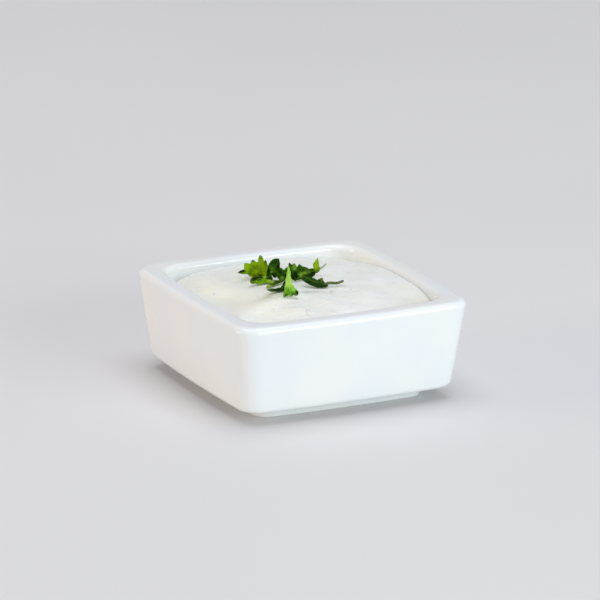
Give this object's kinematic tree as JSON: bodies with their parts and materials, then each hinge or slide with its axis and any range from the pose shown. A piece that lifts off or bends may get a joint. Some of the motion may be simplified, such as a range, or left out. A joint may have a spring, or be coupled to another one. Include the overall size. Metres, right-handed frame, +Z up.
{
  "type": "tzatziki dip",
  "caption": "Herbed yoghurt dip in a square white porcelain bowl with thick walls and a foot ring, topped with torn parsley.",
  "frame": {"origin": "centre of the underside of the foot ring", "axes": "+Z up, X and Y square to the sides of the bowl; the seen corner points to -X -Y"},
  "size_m": [0.08, 0.08, 0.0409],
  "materials": {
    "porcelain": "clear gloss glaze on white porcelain",
    "yoghurt": "moist, thick, off-white with a faint green-yellow cast",
    "leaf_bright": "fresh leaf, satin",
    "leaf_dark": "fresh leaf, satin",
    "leaf_pale": "fresh leaf underside, satin"
  },
  "bodies": {
    "root": {"bowl": "porcelain", "dip": "yoghurt", "parsley_broad": "leaf_bright", "parsley_under": "leaf_bright", "parsley_folded": "leaf_dark", "parsley_strip": "leaf_dark", "parsley_curled": "leaf_dark", "parsley_sliver": "leaf_dark", "parsley_front": "leaf_pale", "parsley_behind": "leaf_dark", "parsley_crinkled": "leaf_dark", "parsley_upright": "leaf_bright", "parsley_long": "leaf_dark", "parsley_thread": "leaf_pale"}
  },
  "joints": []
}
